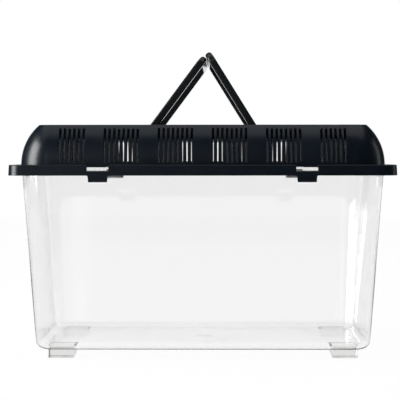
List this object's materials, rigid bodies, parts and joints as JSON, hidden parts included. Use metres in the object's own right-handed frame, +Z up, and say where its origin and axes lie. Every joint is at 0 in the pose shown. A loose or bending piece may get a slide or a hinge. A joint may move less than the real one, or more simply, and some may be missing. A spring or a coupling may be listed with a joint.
{
  "type": "pet keeper",
  "caption": "Clear plastic keeper for small animals: a drafted tank on low feet, a black domed lid with vent slots and a feeding hatch, and folding carry handles.",
  "frame": {"origin": "middle of the footprint, on the surface that the feet stand on", "axes": "+X along the length, to the right seen from the front; +Y from front to rear; +Z up"},
  "size_m": [0.367, 0.227, 0.2947],
  "materials": {
    "clear_polystyrene": "gloss",
    "clear_hatch": "gloss",
    "black_polypropylene": "satin",
    "black_handle": "gloss"
  },
  "bodies": {
    "tank": {"tank": "clear_polystyrene"},
    "lid": {"lid": "black_polypropylene"},
    "hatch": {"hatch": "clear_hatch"},
    "handle_left": {"handle_left": "black_handle"},
    "handle_right": {"handle_right": "black_handle"}
  },
  "joints": [
    {"name": "lid_lift", "type": "slide", "parent": "tank", "child": "lid", "axis": [0, 0, 1], "range_m": [0, 0.15]},
    {"name": "hatch_hinge", "type": "hinge", "parent": "lid", "child": "hatch", "pos_m": [0, 0.025, 0.2149], "axis": [-1, 0, 0], "range_deg": [0, 105]},
    {"name": "handle_left_fold", "type": "hinge", "parent": "lid", "child": "handle_left", "pos_m": [-0.053, 0, 0.21565], "axis": [0, -1, 0], "range_deg": [0, 126.72]},
    {"name": "handle_right_fold", "type": "hinge", "parent": "lid", "child": "handle_right", "pos_m": [0.053, 0, 0.21565], "axis": [0, 1, 0], "range_deg": [0, 121.91]}
  ]
}
